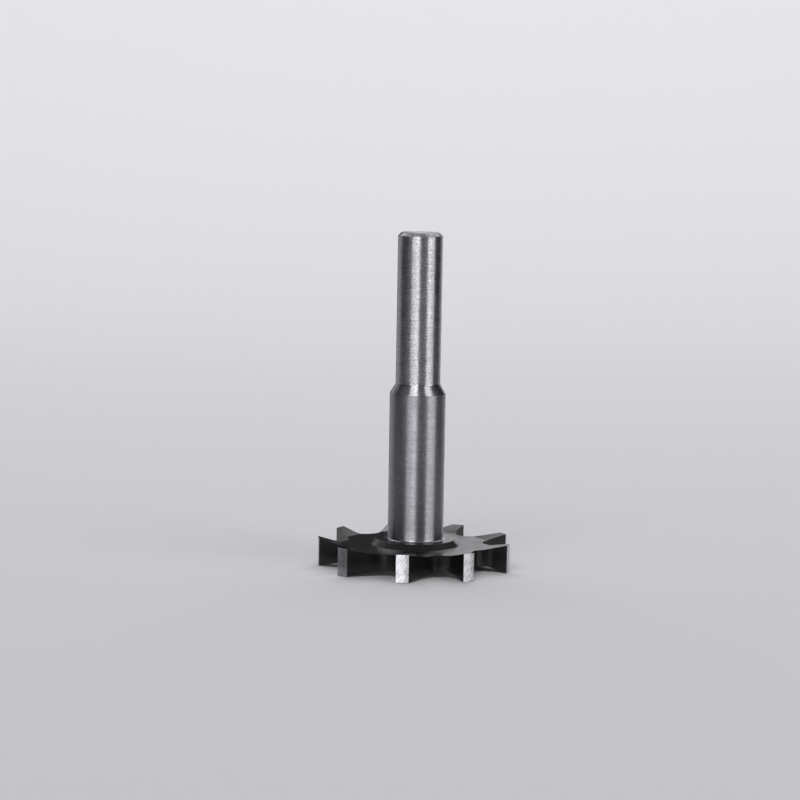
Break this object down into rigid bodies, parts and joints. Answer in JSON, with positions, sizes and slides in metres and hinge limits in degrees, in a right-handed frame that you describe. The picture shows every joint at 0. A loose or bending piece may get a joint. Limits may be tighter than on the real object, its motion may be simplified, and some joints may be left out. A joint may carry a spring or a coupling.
{
  "type": "disc groove cutter",
  "caption": "One-piece groove cutter: a flat toothed disc with rounded gullets on a stepped round shank, for cutting narrow slots with a drill.",
  "frame": {"origin": "centre of the disc's end face, on the tool's axis", "axes": "+Z along the tool's axis from the disc up the shank; -Y is the side seen in the picture, with one tooth 7.5 degrees from it towards -X"},
  "size_m": [0.0343, 0.0346, 0.06],
  "materials": {
    "tool_steel": "bare turned and ground steel on the shank, the body and the nine tooth lands, with a glossy black finish on the rest of the disc"
  },
  "bodies": {
    "root": {"groove_cutter": "tool_steel"}
  },
  "joints": []
}
